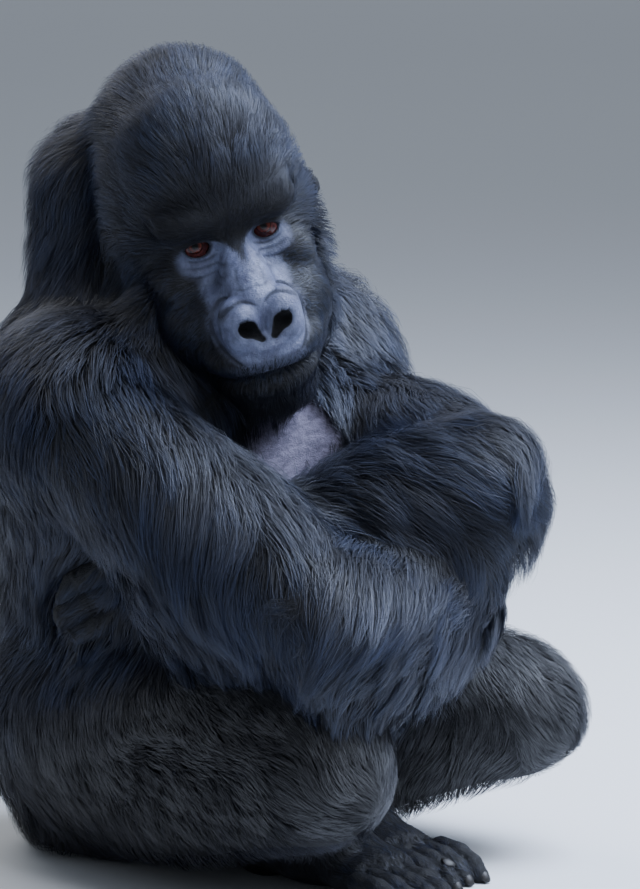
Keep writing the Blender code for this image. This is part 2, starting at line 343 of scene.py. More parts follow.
def sink(skin, tree, owner):
    """Smooths the facets and sinks the skin by the coat's depth."""
    surface = Surface(skin.data)
    owned = owners(tree, owner, surface.at)
    bare = by_kind(owned, {kind: kind in BARE_KINDS for kind in COAT_DEPTH})
    nape = by_kind(owned, only("head")) * ease(to_head(surface.at)[:, 1], 0.06, 0.13)
    soft = surface.blur(np.maximum(1 - bare, nape), 6)
    surface.at = surface.blur(surface.at, FACET_ROUNDS, 0.4)
    surface.at = surface.blur(surface.at, HIDDEN_ROUNDS, 0.6 * soft)
    depth = surface.blur(coat_depth(surface.at, owned), DEPTH_ROUNDS)
    surface.at -= surface.normals() * depth[:, None]
    surface.at = surface.blur(surface.at, DEPTH_ROUNDS, 0.5 * soft)
    put_points(skin.data, surface.at)
    return soft


def thin_out(skin, soft, triangles):
    """Fewer faces under the long coat, where they don't show."""
    group = skin.vertex_groups.new(name="soft")
    for index, weight in enumerate(soft):
        group.add([index], float(weight), "REPLACE")
    decimate = skin.modifiers.new("thin", "DECIMATE")
    decimate.ratio = triangles / (2 * len(skin.data.polygons))
    decimate.vertex_group = "soft"
    decimate.vertex_group_factor = 1.0
    applied(skin)
    skin.vertex_groups.clear()


# ---------------------------------------------------------------- skin: the face

LID = 2.0  # mm of lid over the eyeball
EYE_OPEN = (12.6, 8.4)  # half the opening's width and height, mm
UPPER_LID = 0.84  # share of the opening's upper half that the heavy lid leaves
MOUTH_Z = -0.1215
MOUTH_HALF = 0.058
# Folds, the same on both sides: (three points across and up the face, depth, half-width), all in mm.
FOLDS = (
    (((17, -6), (32, -19), (52, -9)), 1.0, 1.5),
    (((14, -10), (33, -27), (56, -15)), 0.9, 1.6),
    (((20, -22), (38, -34), (56, -24)), 0.8, 1.4),
    (((22, -30), (38, -41), (54, -33)), 0.5, 1.4),
    (((15, -9), (22, -24), (31, -38)), 0.5, 1.8),
    (((28, -44), (46, -50), (51, -84)), 0.7, 2.3),
    (((50, -78), (54, -96), (50, -112)), 1.0, 2.2),
    (((0, -31), (8, -35), (20, -33)), 0.5, 1.3),
    (((2, -50), (22, -32), (42, -56)), 1.5, 1.6),
    (((46, -62), (51, -90), (28, -107)), 1.6, 1.8),
    (((12, -36), (15, -26), (11, -14)), 0.4, 1.8),
    (((5, 8), (7, 18), (6, 27)), 1.0, 2.0),
)
# The head's outer form, as (centre, radii) of balls in mm: skull, crown, forehead, chin, beard and throat.
SKULL = (
    ((0, 105, 25), (114, 125, 110)),
    ((0, 70, 60), (98, 94, 94)),
    ((0, 34, 56), (86, 50, 54)),
    ((0, -26, -139), (58, 50, 26)),
    ((0, -2, -170), (65, 56, 40)),
    ((0, 35, -130), (82, 76, 64)),
)


def lip_line(x):
    """Height of the closed mouth across the face, lower at its corners."""
    return MOUTH_Z - 0.0055 * (x / MOUTH_HALF) ** 2


def nose_form(p, q):
    """The nose pad: two lobes round the nostrils, split above by a groove. p is mirrored to one side of q."""
    pad = ball(p, (20, -62, -65), (22.5, 24, 26), (0, 14, 0))
    pad = join(pad, ball(p, (21, -60, -82), (21.5, 25, 20)), 0.008)
    pad = join(pad, ball(q, (0, -66, -92), (31, 22, 15)), 0.006)
    pad = carve(pad, ball(p, (22, -93, -69), (20, 9, 8), (0, -32, 0)), 0.006)
    return carve(pad, rod(q, (0, -74, -40), (0, -93, -74), 3.0, 1.2), 0.005)


def nostril_form(p):
    """A comma that is wide at its outer, upper end and runs down and in."""
    hole = rod(p, (31, -68, -57), (18, -80, -68), 4.8, 8.2)
    hole = join(hole, rod(p, (17, -80, -69), (6.6, -83, -81), 7.2, 3.2), 0.003)
    return join(hole, rod(p, (19, -80, -68), (15, -46, -52), 7.8, 5.0), 0.004)


def eye_local(p):
    """Points from one eye's centre, in metres."""
    return p - np.array((EYE_APART / 2, EYE_BACK, 0))


def eye_rim(p):
    """Distance outside the opening between the lids, seen from the front, in metres."""
    q = eye_local(p)
    wide, high = (size * MM for size in EYE_OPEN)
    lid = np.where(q[:, 2] > 0, UPPER_LID, 1)
    return (np.hypot(q[:, 0] / wide, q[:, 2] / (high * lid)) - 1) * high * lid


def with_lids(face, p):
    """Sets the lids round the eyeball and opens them."""
    q = eye_local(p)
    reach = np.linalg.norm(q, axis=1)
    face = carve(face, ball(p, (36, -21, 0), (21.5, 20, 13.5)), 0.007)
    face = join(face, reach - EYE_RADIUS - LID * MM, 0.004)
    opening = np.maximum(eye_rim(p), q[:, 1])
    face = carve(face, opening, 0.0012)
    return np.minimum(face, reach - EYE_RADIUS + 1.5 * MM)


def face_field(q):
    """Distance from the sculpted skin of the head's front, in metres. q is in the head's axes."""
    p = mirrored(q)
    brow = ball(q, (0, 6, 34), (78, 32, 21))
    brow = join(brow, ball(p, (38, 5, 31), (42, 30, 21), (0, 12, -10)), 0.016)
    cheeks = ball(q, (0, 28, -38), (84, 44, 64))
    cheeks = join(cheeks, ball(p, (54, 14, -38), (34, 28, 30), (0, 0, -18)), 0.010)
    face = join(brow, cheeks, 0.010)
    for centre, radii in SKULL:
        face = join(face, ball(q, centre, radii), 0.010)
    muzzle = join(ball(q, (0, -8, -78), (68, 54, 50)), ball(q, (0, -34, -106), (66, 54, 30)), 0.010)
    muzzle = join(muzzle, ball(p, (44, 16, -88), (50, 52, 54)), 0.012)
    face = join(face, muzzle, 0.008)
    bridge = rod(q, (0, 2, 0), (0, -34, -34), 19, 25)
    bridge = join(bridge, rod(q, (0, -34, -34), (0, -52, -52), 25, 25), 0.006)
    face = join(face, bridge, 0.010)
    face += head_depth(q)
    face = join(face, nose_form(p, q), 0.004)
    face = with_lids(face, p)
    face = carve(face, nostril_form(p), 0.0022)
    seam = np.hypot((q[:, 2] - lip_line(q[:, 0])) / 0.0022, ease(np.abs(q[:, 0]), 0.050, 0.064) * 2) - 1
    return carve(face, np.maximum(seam * 0.0022, q[:, 1] + 0.020), 0.003)


def fold_depth(q):
    """How far the folds and wrinkles press the skin in."""
    flat = np.column_stack((np.abs(q[:, 0]), q[:, 2]))
    pressed = np.zeros(len(q))
    for points, deep, wide in FOLDS:
        a, b, c = (np.array(point) * MM for point in points)
        near = np.full(len(q), 1.0)
        for t in np.linspace(0, 1, 24):
            on = (1 - t) ** 2 * a + 2 * t * (1 - t) * b + t * t * c
            near = np.minimum(near, np.linalg.norm(flat - on, axis=1) + 0.0025 * abs(2 * t - 1) ** 6)
        pressed += deep * MM * np.exp(-((near / (wide * MM)) ** 2))
    return pressed * (q[:, 1] < 0.03)


def painted_face_shade(q):
    """Painted shade on the bare face, 1 where darkest: in and round the nostrils, in the folds, above the
    eyes under the brow, and along the mouth. The lid rims and the sides below the eyes are darker too.
    """
    p = mirrored(q)
    hole = 1 - ease(nostril_form(p), 0.0002, 0.0018)
    rim = 1 - ease(np.abs(eye_rim(p)), 0.0008, 0.0030)
    above = ease(q[:, 2], 0.000, 0.013)
    fold = np.minimum(1, fold_depth(q) / 0.0010) * 0.70
    cheek = 0.34 * ease(p[:, 0], 0.012, 0.048) * ease(q[:, 2], -0.060, -0.030)
    lips = 1 - ease(np.abs(q[:, 2] - lip_line(q[:, 0])), 0.0015, 0.0050)
    nostril_rim_shade = 0.45 * (1 - ease(nostril_form(p), 0.0010, 0.0065))
    return np.max((hole, nostril_rim_shade, rim * 0.8, above, cheek + 0.5 * fold, fold, lips * 0.9), axis=0)


def face_share(q):
    """1 where the face is sculpted, fading to 0 where the skin keeps the CAD's form."""
    away = np.hypot(q[:, 0] / 0.098, (q[:, 2] + 0.052) / 0.112)
    return (1 - ease(away, 0.85, 1.15)) * (1 - ease(q[:, 1], 0.030, 0.070))


def field_slope(field, q, step=0.0004):
    value = field(q)
    slope = np.empty_like(q)
    for axis in range(3):
        moved = q.copy()
        moved[:, axis] += step
        slope[:, axis] = (field(moved) - value) / step
    return value, slope


def settle(at, field, share, steps):
    """Moves points onto a distance field's surface."""
    for _ in range(steps):
        value, slope = field_slope(field, at)
        length = np.maximum(dot(slope, slope), 0.25)
        move = -slope * (value[:, None] / length)
        size = np.maximum(np.linalg.norm(move, axis=1, keepdims=True), 1e-9)
        at = at + move * np.minimum(1, 0.006 / size) * share[:, None]
    return at


def refine(skin, chosen):
    """Splits every face of the skin that touches chosen points into smaller ones."""
    shape = bmesh.new()
    shape.from_mesh(skin.data)
    shape.verts.ensure_lookup_table()
    edges = {e for i in np.flatnonzero(chosen) for e in shape.verts[int(i)].link_edges}
    bmesh.ops.subdivide_edges(shape, edges=list(edges), cuts=1, use_grid_fill=True)
    bmesh.ops.triangulate(shape, faces=shape.faces)
    shape.to_mesh(skin.data)
    shape.free()


def sculpt(surface, q, field, share, rounds, slide, last):
    """Settles the points on a field and evens them out along the skin by slide, round by round."""
    front = share > 0
    share = share[front]
    for _ in range(rounds):
        q[front] = settle(q[front], field, share, 2)
        surface.at = q
        even = surface.blur(q, 1, 0.5) - q
        normal = surface.normals()
        q[front] += ((even - normal * dot(even, normal)) * slide)[front] * share[:, None]
    q[front] = settle(q[front], field, share, last)


def sculpt_face(skin, rounds):
    surface = Surface(skin.data)
    q = to_head(surface.at)
    sculpt(surface, q, face_field, face_share(q), rounds, 0.8, 3)
    put_points(skin.data, from_head(q))


def wrinkle(skin):
    surface = Surface(skin.data)
    q = to_head(surface.at)
    press = fold_depth(q) * face_share(q) * ease(eye_rim(mirrored(q)), 0.0005, 0.003)
    surface.at -= surface.normals() * press[:, None]
    put_points(skin.data, surface.at)


# ---------------------------------------------------------------- skin: ears, fingers and toes

EAR_AT = (106, 104, -12)  # mm in the head's axes, as in the CAD model
EAR_TURN = 30
# Each hand's wrist, the way it points and its back faces, and how its fingers curl, as in the CAD model.
HANDS = {
    "hand_right": (-1, (0.102, -0.276, 0.279), (0.20, 0.95, -0.05), (0.95, -0.20, 0.20), (8, 22, 22)),
    "hand_left": (1, (-0.140, -0.150, 0.355), (-0.55, 0.70, -0.45), (-0.45, -0.75, 0.3), (10, 14, 14)),
}
FEET = {  # each foot's heel and the way it points
    "foot_right": (-1, (-0.045, -0.100, 0.032), (0.02, -1, 0)),
    "foot_left": (1, (0.055, -0.045, 0.032), (-0.10, -1, 0)),
}
# Lengths of the bones of each digit, where each row of four begins and how far apart its digits stand.
LONG_FINGER, SHORT_FINGER, THUMB = (0.046, 0.034, 0.026), (0.040, 0.030, 0.024), (0.030, 0.024)
LONG_TOE, SHORT_TOE, BIG_TOE = (0.030, 0.024, 0.018), (0.026, 0.021, 0.016), (0.046, 0.034)
FINGER_ROW, FINGER_STEP = -0.0345, 0.023
TOE_ROW, TOE_STEP = -0.014, 0.0205
NAIL = (6.2, 6.8, 1.3)  # half-width, half-length and half-thickness, mm
BIG_TOE_NAIL = (8.0, 8.0, 1.5)
FLOOR_GAP = 0.0003  # the soles and nails stay this far, in metres, above the floor
NAIL_LOOSE = 0.003  # a digit whose top is further than this from its limb is pressed into the body


def place_frame(origin, along, up):
    """A place whose -Y points along a limb and whose +Z is as near up as it can be."""
    y = -(Vector(along).normalized())
    x = y.cross(Vector(up)).normalized()
    turned = Matrix((x, y, x.cross(y))).transposed().to_4x4()
    return Matrix.Translation(origin) @ turned


def digit_line(base, spread, curl, lengths, radius):
    """(points and radii along a digit in its limb's frame, how far it splays, its slope at the end)."""
    point, down = Vector(base), 0.0
    line = [(point.copy(), radius)]
    for step, (bend, length) in enumerate(zip(curl, lengths)):
        down += math.radians(bend)
        level = math.cos(down)
        point += Vector((math.sin(spread) * level, -math.cos(spread) * level, -math.sin(down))) * length
        line.append((point.copy(), radius * (1 - 0.07 * (step + 1))))
    return line, spread, down


def digit_places():
    """For each hand and foot, its place and its digits, the thumb or big toe last."""
    places = {}
    for name, (side, wrist, along, up, curl) in HANDS.items():
        digits = []
        for index in range(4):
            across = FINGER_ROW + FINGER_STEP * index
            reach = LONG_FINGER if index in (1, 2) else SHORT_FINGER
            digits.append(digit_line((across, -0.108, 0.0), across * 1.5, curl, reach, 0.0145))
        root = (-0.044 * side, -0.050, -0.004)
        digits.append(digit_line(root, -0.5 * side, (12, 12), THUMB, 0.0135))
        places[name] = (place_frame(wrist, along, up), digits)
    for name, (side, heel, along) in FEET.items():
        digits = []
        for index in range(4):
            across = (TOE_ROW + TOE_STEP * index) * side
            reach = LONG_TOE if index < 2 else SHORT_TOE
            digits.append(digit_line((across, -0.185, -0.006), across * 1.2, (4, 16, 22), reach, 0.0135))
        root = (-0.036 * side, -0.110, -0.006)
        digits.append(digit_line(root, -0.55 * side, (2, 8), BIG_TOE, 0.0175))
        places[name] = (place_frame(heel, along, (0, 0, 1)), digits)
    return places


def digits_field(digits):
    """Distance from digits that meet in sharp creases. Each joint swells a little."""

    def field(q):
        near = np.full(len(q), 1.0)
        for line, _, _ in digits:
            digit = np.full(len(q), 1.0)
            for (a, wide), (b, narrow) in zip(line, line[1:]):
                ends = [tuple(value / MM for value in point) for point in (a, b)]
                digit = join(digit, rod(q, *ends, wide / MM - 1.2, narrow / MM - 1.2), 0.003)
            near = join(near, digit, 0.0012)
        return near

    return field


def ear_field(q):
    """A small rounded shell with a rim and a hollow that opens forward and out."""
    p = mirrored(q)
    turn = (0, 0, EAR_TURN)
    x, y, z = EAR_AT
    shell = ball(p, EAR_AT, (13, 19, 26), turn)
    shell = carve(shell, ball(p, (x + 11, y - 3, z + 2), (10, 12, 18), turn), 0.003)
    return join(shell, ball(p, (x + 3, y - 13, z - 6), (6, 5, 6), turn), 0.003)


def sculpt_detail(skin, to_local, to_world, field, near_enough):
    """Refines the skin near a form and settles it there."""
    surface = Surface(skin.data)
    q = to_local(surface.at)
    refine(skin, np.abs(field(q)) * near_enough(q) + (1 - near_enough(q)) < DETAIL_REACH)
    surface = Surface(skin.data)
    q = to_local(surface.at)
    share = (1 - ease(np.abs(field(q)), DETAIL_REACH * 0.7, DETAIL_REACH)) * near_enough(q)
    sculpt(surface, q, field, share, 3, 0.6, 2)
    put_points(skin.data, to_world(q))


def sculpt_details(skin):
    """Ears, fingers and toes."""
    sculpt_detail(skin, to_head, from_head, ear_field, lambda q: ease(np.abs(q[:, 0]), 0.094, 0.104))
    for place, digits in digit_places().values():
        turn, origin = np.array(place.to_3x3()), np.array(place.translation)
        starts = -digits[0][0][0][0][1]
        sculpt_detail(
            skin,
            lambda at, turn=turn, origin=origin: (at - origin) @ turn,
            lambda q, turn=turn, origin=origin: q @ turn.T + origin,
            digits_field(digits),
            lambda q, starts=starts: ease(-q[:, 1], starts - 0.030, starts + 0.005),
        )
    at = Surface(skin.data).at
    at[:, 2] = np.maximum(at[:, 2], FLOOR_GAP)
    put_points(skin.data, at)


# ---------------------------------------------------------------- coat: how it lies

# The animal's joints, as in the CAD model.
JOINTS = {
    "upper_arm_right": ((-0.215, -0.030, 0.470), (-0.185, -0.355, 0.315)),
    "upper_arm_left": ((0.165, 0.000, 0.440), (0.032, -0.340, 0.428)),
    "forearm_right": ((0.102, -0.276, 0.279), (-0.185, -0.355, 0.315)),  # the hair runs up to the elbow
    "forearm_left": ((-0.140, -0.150, 0.355), (0.032, -0.340, 0.428)),
    "thigh_right": ((-0.120, 0.065, 0.146), (-0.172, -0.314, 0.156)),
    "thigh_left": ((0.120, 0.065, 0.142), (0.205, -0.220, 0.152)),
    "lower_leg_right": ((-0.172, -0.314, 0.156), (-0.045, -0.135, 0.062)),
    "lower_leg_left": ((0.205, -0.220, 0.152), (0.055, -0.080, 0.062)),
    "hand_right": ((0.102, -0.276, 0.279), (0.122, -0.186, 0.275)),
    "hand_left": ((-0.140, -0.150, 0.355), (-0.195, -0.080, 0.310)),
    "foot_right": ((-0.045, -0.100, 0.040), (-0.040, -0.300, 0.030)),
    "foot_left": ((0.055, -0.045, 0.040), (0.035, -0.250, 0.030)),
}
DOWN = np.array((0.0, 0.0, -1.0))

# For each kind of part: tufts per square cm, their length and width in mm, how much they hang, how far they
# stand off the skin, how far they gather into locks, and how far they stray.
COAT_TRAITS = ("density", "length", "width", "hang", "stand", "clump", "stray")
COAT = {
    "head": (36, 28, 0.46, 0.08, 1.0, 0.30, 0.13),
    "neck": (24, 50, 0.60, 0.20, 1.0, 0.55, 0.20),
    "trunk": (12, 52, 0.88, 0.20, 1.0, 0.60, 0.18),
    "upper_arm": (20, 80, 0.66, 0.65, 1.05, 0.80, 0.28),
    "forearm": (19, 78, 0.66, 0.72, 1.05, 0.88, 0.32),
    "thigh": (20, 34, 0.64, 0.35, 1.0, 0.40, 0.22),
    "lower_leg": (15, 32, 0.68, 0.30, 0.9, 0.45, 0.24),
    "hand": (22, 32, 0.55, 0.30, 1.0, 0.5, 0.25),
    "foot": (12, 9, 0.5, 0.00, 0.7, 0.4, 0.2),
    "ear": (8, 7, 0.5, 0.00, 0.8, 0.3, 0.2),
}


def trait_table(name):
    return {kind: row[COAT_TRAITS.index(name)] for kind, row in COAT.items()}


def only(*kinds):
    """A table that is 1 for these kinds of part and 0 for the rest."""
    return {kind: kind in kinds for kind in COAT}


def head_lie(q):
    """The hair of the head runs away from the nose, up over the crest, down the cheeks and down the nape."""
    lie = unit(q - np.array((0, -0.070, -0.030)))
    lie[:, 1] += 0.35 * ease(q[:, 2], -0.02, 0.06)
    lie += ease(q[:, 1], 0.060, 0.160)[:, None] * np.array((0, 1.2, -0.7))
    lie += ease(-q[:, 2], 0.060, 0.120)[:, None] * np.array((0, 0.1, -1.2))
    cheek = ease(np.abs(q[:, 0]), 0.050, 0.100) * ease(-q[:, 2], -0.040, 0.030)
    lie += cheek[:, None] * np.array((0, 0.3, -0.9))
    return unit(lie)


def limb_lie(at, owned):
    """The way the hair runs along each limb, and down the trunk."""
    lie = np.tile(DOWN + np.array((0, 0.15, 0)), (len(at), 1))
    for index, name in enumerate(FLESH):
        chosen = owned == index
        if name in JOINTS:
            start, end = (np.array(joint) for joint in JOINTS[name])
            hang = trait_table("hang")[node_kind(name)]
            lie[chosen] = unit(end - start) + DOWN * hang
        elif node_kind(name) in ("head", "ear"):
            lie[chosen] = head_lie(to_head(at[chosen])) @ TURN
    return unit(lie)


# The beard's grey is partly its own brown-grey and partly painted light, paler to stand in for the light it
# would catch from the front.
THIGH_GREY, BEARD_GREY_AND_PAINTED_LIGHT = 0.7, 0.5  # against 1 on the silver back
# How far the brow's hair and the hair that little light reaches go to black, as painted shade: on the brow
# for its deep shadow, elsewhere for the shade in the coat's hollows.
BROW_PAINTED_SHADE, HOLLOW_PAINTED_SHADE = 0.95, 0.85
# The middle and the half-sizes of the breast's bare oval.
CHEST_AT = (-0.025, -0.190, 0.470)
CHEST_SIZE = (0.082, 0.130, 0.105)


def bare_chest(at, owned):
    """1 on the bare skin of the breast."""
    away = np.linalg.norm((at - np.array(CHEST_AT)) / np.array(CHEST_SIZE), axis=1)
    return (1 - ease(away, 0.75, 1.05)) * by_kind(owned, only("trunk", "neck"))


def openness(at, normal, tris, reach=0.30, rays=10):
    """The share of rays from each point that leave the body: 0 where nothing outside can see it."""
    tree = BVHTree.FromPolygons([Vector(p) for p in at], [tuple(int(i) for i in t) for t in tris])
    rng = np.random.default_rng(SEED)
    spread = unit(rng.normal(0, 1, (rays, 3)))
    free = np.zeros(len(at))
    for way in spread:
        aimed = unit(normal * 1.05 + way)
        for index, (point, aim) in enumerate(zip(at + normal * 0.004, aimed)):
            if aim[2] * reach + point[2] > 0 and tree.ray_cast(Vector(point), Vector(aim), reach)[0] is None:
                free[index] += 1 / rays
    return free


class Pelt:
    """The skin's points with what the coat needs to know at each."""

    def __init__(self, skin, tree, owner):
        surface = Surface(skin.data)
        self.at, self.tris = surface.at, surface.tris
        self.normal = surface.normals()
        self.owned = owners(tree, owner, self.at)
        self.q = to_head(self.at)
        lie = limb_lie(self.at, self.owned)
        for _ in range(8):
            lie = surface.blur(lie, 8, 0.5)
            lie = unit(lie - self.normal * dot(lie, self.normal))
        drift = surface.blur(np.random.default_rng(SEED).normal(0, 1, lie.shape), 24)
        drift *= (DRIFT * by_kind(self.owned, trait_table("stray")))[:, None] / drift.std()
        lie = unit(lie + drift - self.normal * dot(drift, self.normal))
        self.lie = lie
        self.depth = surface.blur(self.real_depth(tree), 8)
        self.traits = {name: surface.blur(by_kind(self.owned, trait_table(name)), 14) for name in COAT_TRAITS}
        self.chest = surface.blur(bare_chest(self.at, self.owned), 4)
        self.open = surface.blur(openness(self.at, self.normal, self.tris), 6)
        self.traits["density"] *= 0.25 + 0.75 * ease(self.open, 0.03, 0.25)
        self.shape_head()
        self.grey = self.saddle(surface)
        self.tree = KDTree(len(self.at))
        for index, point in enumerate(self.at):
            self.tree.insert(point, index)
        self.tree.balance()

    def real_depth(self, tree):
        """How far below the CAD's own surface each point lies."""
        return np.array([tree.find_nearest(Vector(point))[3] for point in self.at])

    def shape_head(self):
        """Thins the hair out towards the bare face and chest, and makes it short there."""
        head = by_kind(self.owned, only("head"))
        self.bare = bare_face(self.q) * head
        away = np.linalg.norm((self.q - FACE_MIDDLE) * (1, 1, 0.8), axis=1)
        beard = ease(-self.q[:, 2], 0.122, 0.142) * (1 - ease(self.q[:, 1], 0.010, 0.060))
        nape = ease(self.q[:, 1], 0.060, 0.150)
        short = 0.20 + 0.80 * ease(away, 0.048, 0.105) + 1.2 * nape
        short = np.maximum(short, 1.6 * beard)
        self.traits["length"] *= np.where(head > 0, short, 1)
        self.traits["length"] *= 1 - 0.7 * ease(self.chest, 0.05, 0.6)
        self.traits["density"] *= 1 - ease(self.bare, 0.15, 0.75)
        self.traits["density"] *= (1 - self.chest) * (1 - thin_hair(self.q))
        self.depth = np.maximum(self.depth, 0.0015)
        self.beard = beard * head
        # Painted shade: the brow's hair is darkened towards black, standing in for the deep shadow of the
        # brow.
        brow = np.hypot(self.q[:, 0] / 0.092, (self.q[:, 2] - 0.028) / 0.044)
        self.dusk = BROW_PAINTED_SHADE * (1 - ease(brow, 0.55, 1.15)) * (1 - ease(self.q[:, 1], 0.020, 0.060)) * head
        # Painted shade: hair in the coat's hollows, where few rays leave the body, is darkened towards black
        # as if in shadow.
        self.dusk = np.maximum(self.dusk, HOLLOW_PAINTED_SHADE * (1 - ease(self.open, 0.10, 0.45)))

    def saddle(self, surface):
        """The silver of a grown male's back, the greyer thighs, and the beard's grey, partly its own
        brown-grey tone and partly painted light.
        """
        at = self.at
        back = ease(at[:, 1], 0.05, 0.16) * ease(-at[:, 2], -0.54, -0.40) * by_kind(self.owned, only("trunk"))
        thigh = THIGH_GREY * by_kind(self.owned, only("thigh", "lower_leg"))
        # The beard's share is partly painted light.
        return surface.blur(np.max((back, thigh, BEARD_GREY_AND_PAINTED_LIGHT * self.beard), axis=0), 10)


# ---------------------------------------------------------------- coat: its tufts

STEPS = 3  # bends of a tuft
# How many tufts gather round one, and how far each bend is drawn to it: first into shags, then into locks.
CLUMPS = ((110, (0, 0.28, 0.58)), (8, (0.10, 0.42, 0.78)))
# The range of each tuft's share of its kind's length, of the coat's depth and of its kind's width.
LENGTHS, DEPTHS, WIDTHS = (0.60, 1.15), (0.35, 1.0), (0.7, 1.2)
RISE = (0.75, 1.05, 0.95)  # how high each bend stands, as a share of the coat's depth
DROP = (0.00, 0.12, 0.45)  # how much of the hang each bend takes
WANDER = 0.20  # how far a bend strays, as a share of the tuft's length and of its kind's stray
ROLL = 0.20  # radians that tufts roll about their own run
HUNG_SHARE = 0.45  # how far hair under a limb drops, as a share of its length
# How far a tuft's shading follows its own face, the skin under it and the round of a lock.
OWN_NORMAL, SKIN_NORMAL, ROUND_NORMAL = 0.5, 0.5, 0.7
DRIFT = 1.3  # how far the lie wanders in swirls, as a share of each kind's stray


def scatter(pelt, chosen, rng):
    """Random roots over the chosen part of the pelt, as triangles and shares of their corners."""
    a, b, c = (pelt.at[pelt.tris[:, i]] for i in range(3))
    area = np.linalg.norm(np.cross(b - a, c - a), axis=1) / 2 * 1e4
    wanted = area * (pelt.traits["density"] * chosen)[pelt.tris].mean(axis=1)
    count = int(wanted.sum())
    triangle = rng.choice(len(area), count, p=wanted / wanted.sum())
    share = rng.dirichlet((1, 1, 1), count)
    return pelt.tris[triangle], share


def comb(pelt, at, lie, normal, length):
    """Follows the lie of the coat over the skin from each root. Returns points and normals at each step."""
    points, normals = [at], [normal]
    for _ in range(STEPS):
        ahead = at + lie * (length / STEPS)[:, None]
        near = np.array([pelt.tree.find(point)[1] for point in ahead])
        normal = pelt.normal[near]
        at = ahead - normal * dot(ahead - pelt.at[near], normal)
        lie = 0.5 * lie + 0.5 * pelt.lie[near]
        lie = unit(lie - normal * dot(lie, normal))
        points.append(at)
        normals.append(normal)
    return points, normals


def nearest_of(at, size, rng):
    """For each point, the nearest of a random few, one in every size."""
    few = rng.choice(len(at), max(1, len(at) // size), replace=False)
    tree = KDTree(len(few))
    for index in few:
        tree.insert(at[index], int(index))
    tree.balance()
    return np.array([tree.find(point)[1] for point in at])


def unwrap(at):
    """A place on a flat sheet for each point: round and along the longest axis of their shape."""
    middle = at.mean(axis=0)
    _, axes = np.linalg.eigh(np.cov((at - middle).T))
    side, front, along = ((at - middle) @ axes).T
    round_it = np.arctan2(side, front) / math.tau + 0.5
    up = (along - along.min()) / (along.max() - along.min())
    return np.column_stack((0.01 + 0.98 * round_it, 0.01 + 0.98 * up, np.zeros(len(at))))


def tufts(pelt, chosen, seed, looks):
    """The roots of one coat piece as a mesh of points, with the bends of each tuft as attributes."""
    rng = np.random.default_rng(seed)
    corners, share = scatter(pelt, chosen, rng)

    def at_root(values):
        return (values[corners] * share.reshape(share.shape + (1,) * (values.ndim - 1))).sum(axis=1)

    traits = {name: at_root(values) for name, values in pelt.traits.items()}
    root = at_root(pelt.at)
    normal = unit(at_root(pelt.normal))
    stray = traits["stray"][:, None] * looks.stray
    lie = unit(at_root(pelt.lie) + rng.normal(0, 1, root.shape) * stray)
    lie = unit(lie - normal * dot(lie, normal))
    length = traits["length"] * MM * rng.uniform(*LENGTHS, len(root)) * looks.length
    depth = (at_root(pelt.depth) * rng.uniform(*DEPTHS, len(root)) * traits["stand"])[:, None]
    points, normals = comb(pelt, root, lie, normal, length)
    fall = (traits["hang"] * length)[:, None] * DOWN
    under = ease(-normal[:, 2], -0.15, 0.55)[:, None] * traits["hang"][:, None]
    bends = [root]
    for point, up, rise, drop in zip(points[1:], normals[1:], RISE, DROP):
        loose = rng.normal(0, WANDER, root.shape) * length[:, None] * rise * stray
        hung = root + normal * depth * 0.6 + DOWN * (length * HUNG_SHARE * rise)[:, None] * (1 + drop)
        bends.append((point + up * depth * rise + fall * drop) * (1 - under) + hung * under + loose)
    gather = traits["clump"][:, None] * looks.clump
    shade = rng.uniform(0, 1, len(root))
    for size, pull in CLUMPS:
        leader = nearest_of(root, size, rng)
        shade = 0.45 * shade + 0.55 * shade[leader]
        for bend, strength in zip(bends[1:], pull):
            bend += (bend[leader] - bend) * strength * gather
    for bend in bends[1:]:
        bend[:, 2] = np.maximum(bend[:, 2], 0.003)
    roll = rng.normal(0, ROLL, (len(root), 1))
    flat = unit(np.cross(normal, bends[3] - root))
    across = flat * np.cos(roll) + normal * np.sin(roll)
    width = traits["width"] * MM / 2 * rng.uniform(*WIDTHS, len(root)) * looks.width
    mesh = bpy.data.meshes.new("roots")
    mesh.vertices.add(len(root))
    put_points(mesh, root)
    for index in (1, 2, 3):
        put_attribute(mesh, f"bend_{index}", bends[index])
    put_attribute(mesh, "across", across * width[:, None])
    put_attribute(mesh, "sheet", unwrap(root))
    # shade carries each lock's random tone and the painted shade of the brow and the coat's hollows.
    put_attribute(mesh, "shade", np.maximum(shade, at_root(pelt.dusk)))
    put_attribute(mesh, "grey", at_root(pelt.grey))
    put_attribute(mesh, "up", normal)
    return mesh


def ribbon(stations):
    """One flat tuft with a pointed tip. Its points know how far along and to which side they are."""
    mesh = bpy.data.meshes.new("tuft")
    along = np.linspace(0, 1, stations + 1)[:-1]
    full = 0.75 + 0.25 * np.sin(np.pi * (along + 0.15)) - 0.35 * along**3
    rows = [(side * wide, share) for share, wide in zip(along, full) for side in (-1, 1)] + [(0, 1)]
    last = len(rows) - 1
    faces = [(i + 1, i, i + 2, i + 3) for i in range(0, last - 2, 2)] + [(last - 1, last - 2, last)]
    mesh.from_pydata([(0, 0, 0)] * len(rows), [], faces)
    sides, shares = np.array(rows).T
    put_attribute(mesh, "side", sides)
    put_attribute(mesh, "along", shares)
    return link("tuft", mesh)


def add(tree, kind, *values, **settings):
    """Adds a node. values go to its inputs in order: a socket is linked, anything else is set."""
    node = tree.nodes.new(kind)
    for name, value in settings.items():
        setattr(node, name, value)
    feed(tree, node, dict(enumerate(values)))
    return node


def feed(tree, node, inputs):
    for key, value in inputs.items():
        if isinstance(value, bpy.types.NodeSocket):
            tree.links.new(value, node.inputs[key])
        elif value is not None:
            node.inputs[key].default_value = value


def named(tree, name, kind="FLOAT"):
    return add(tree, "GeometryNodeInputNamedAttribute", name, data_type=kind).outputs["Attribute"]


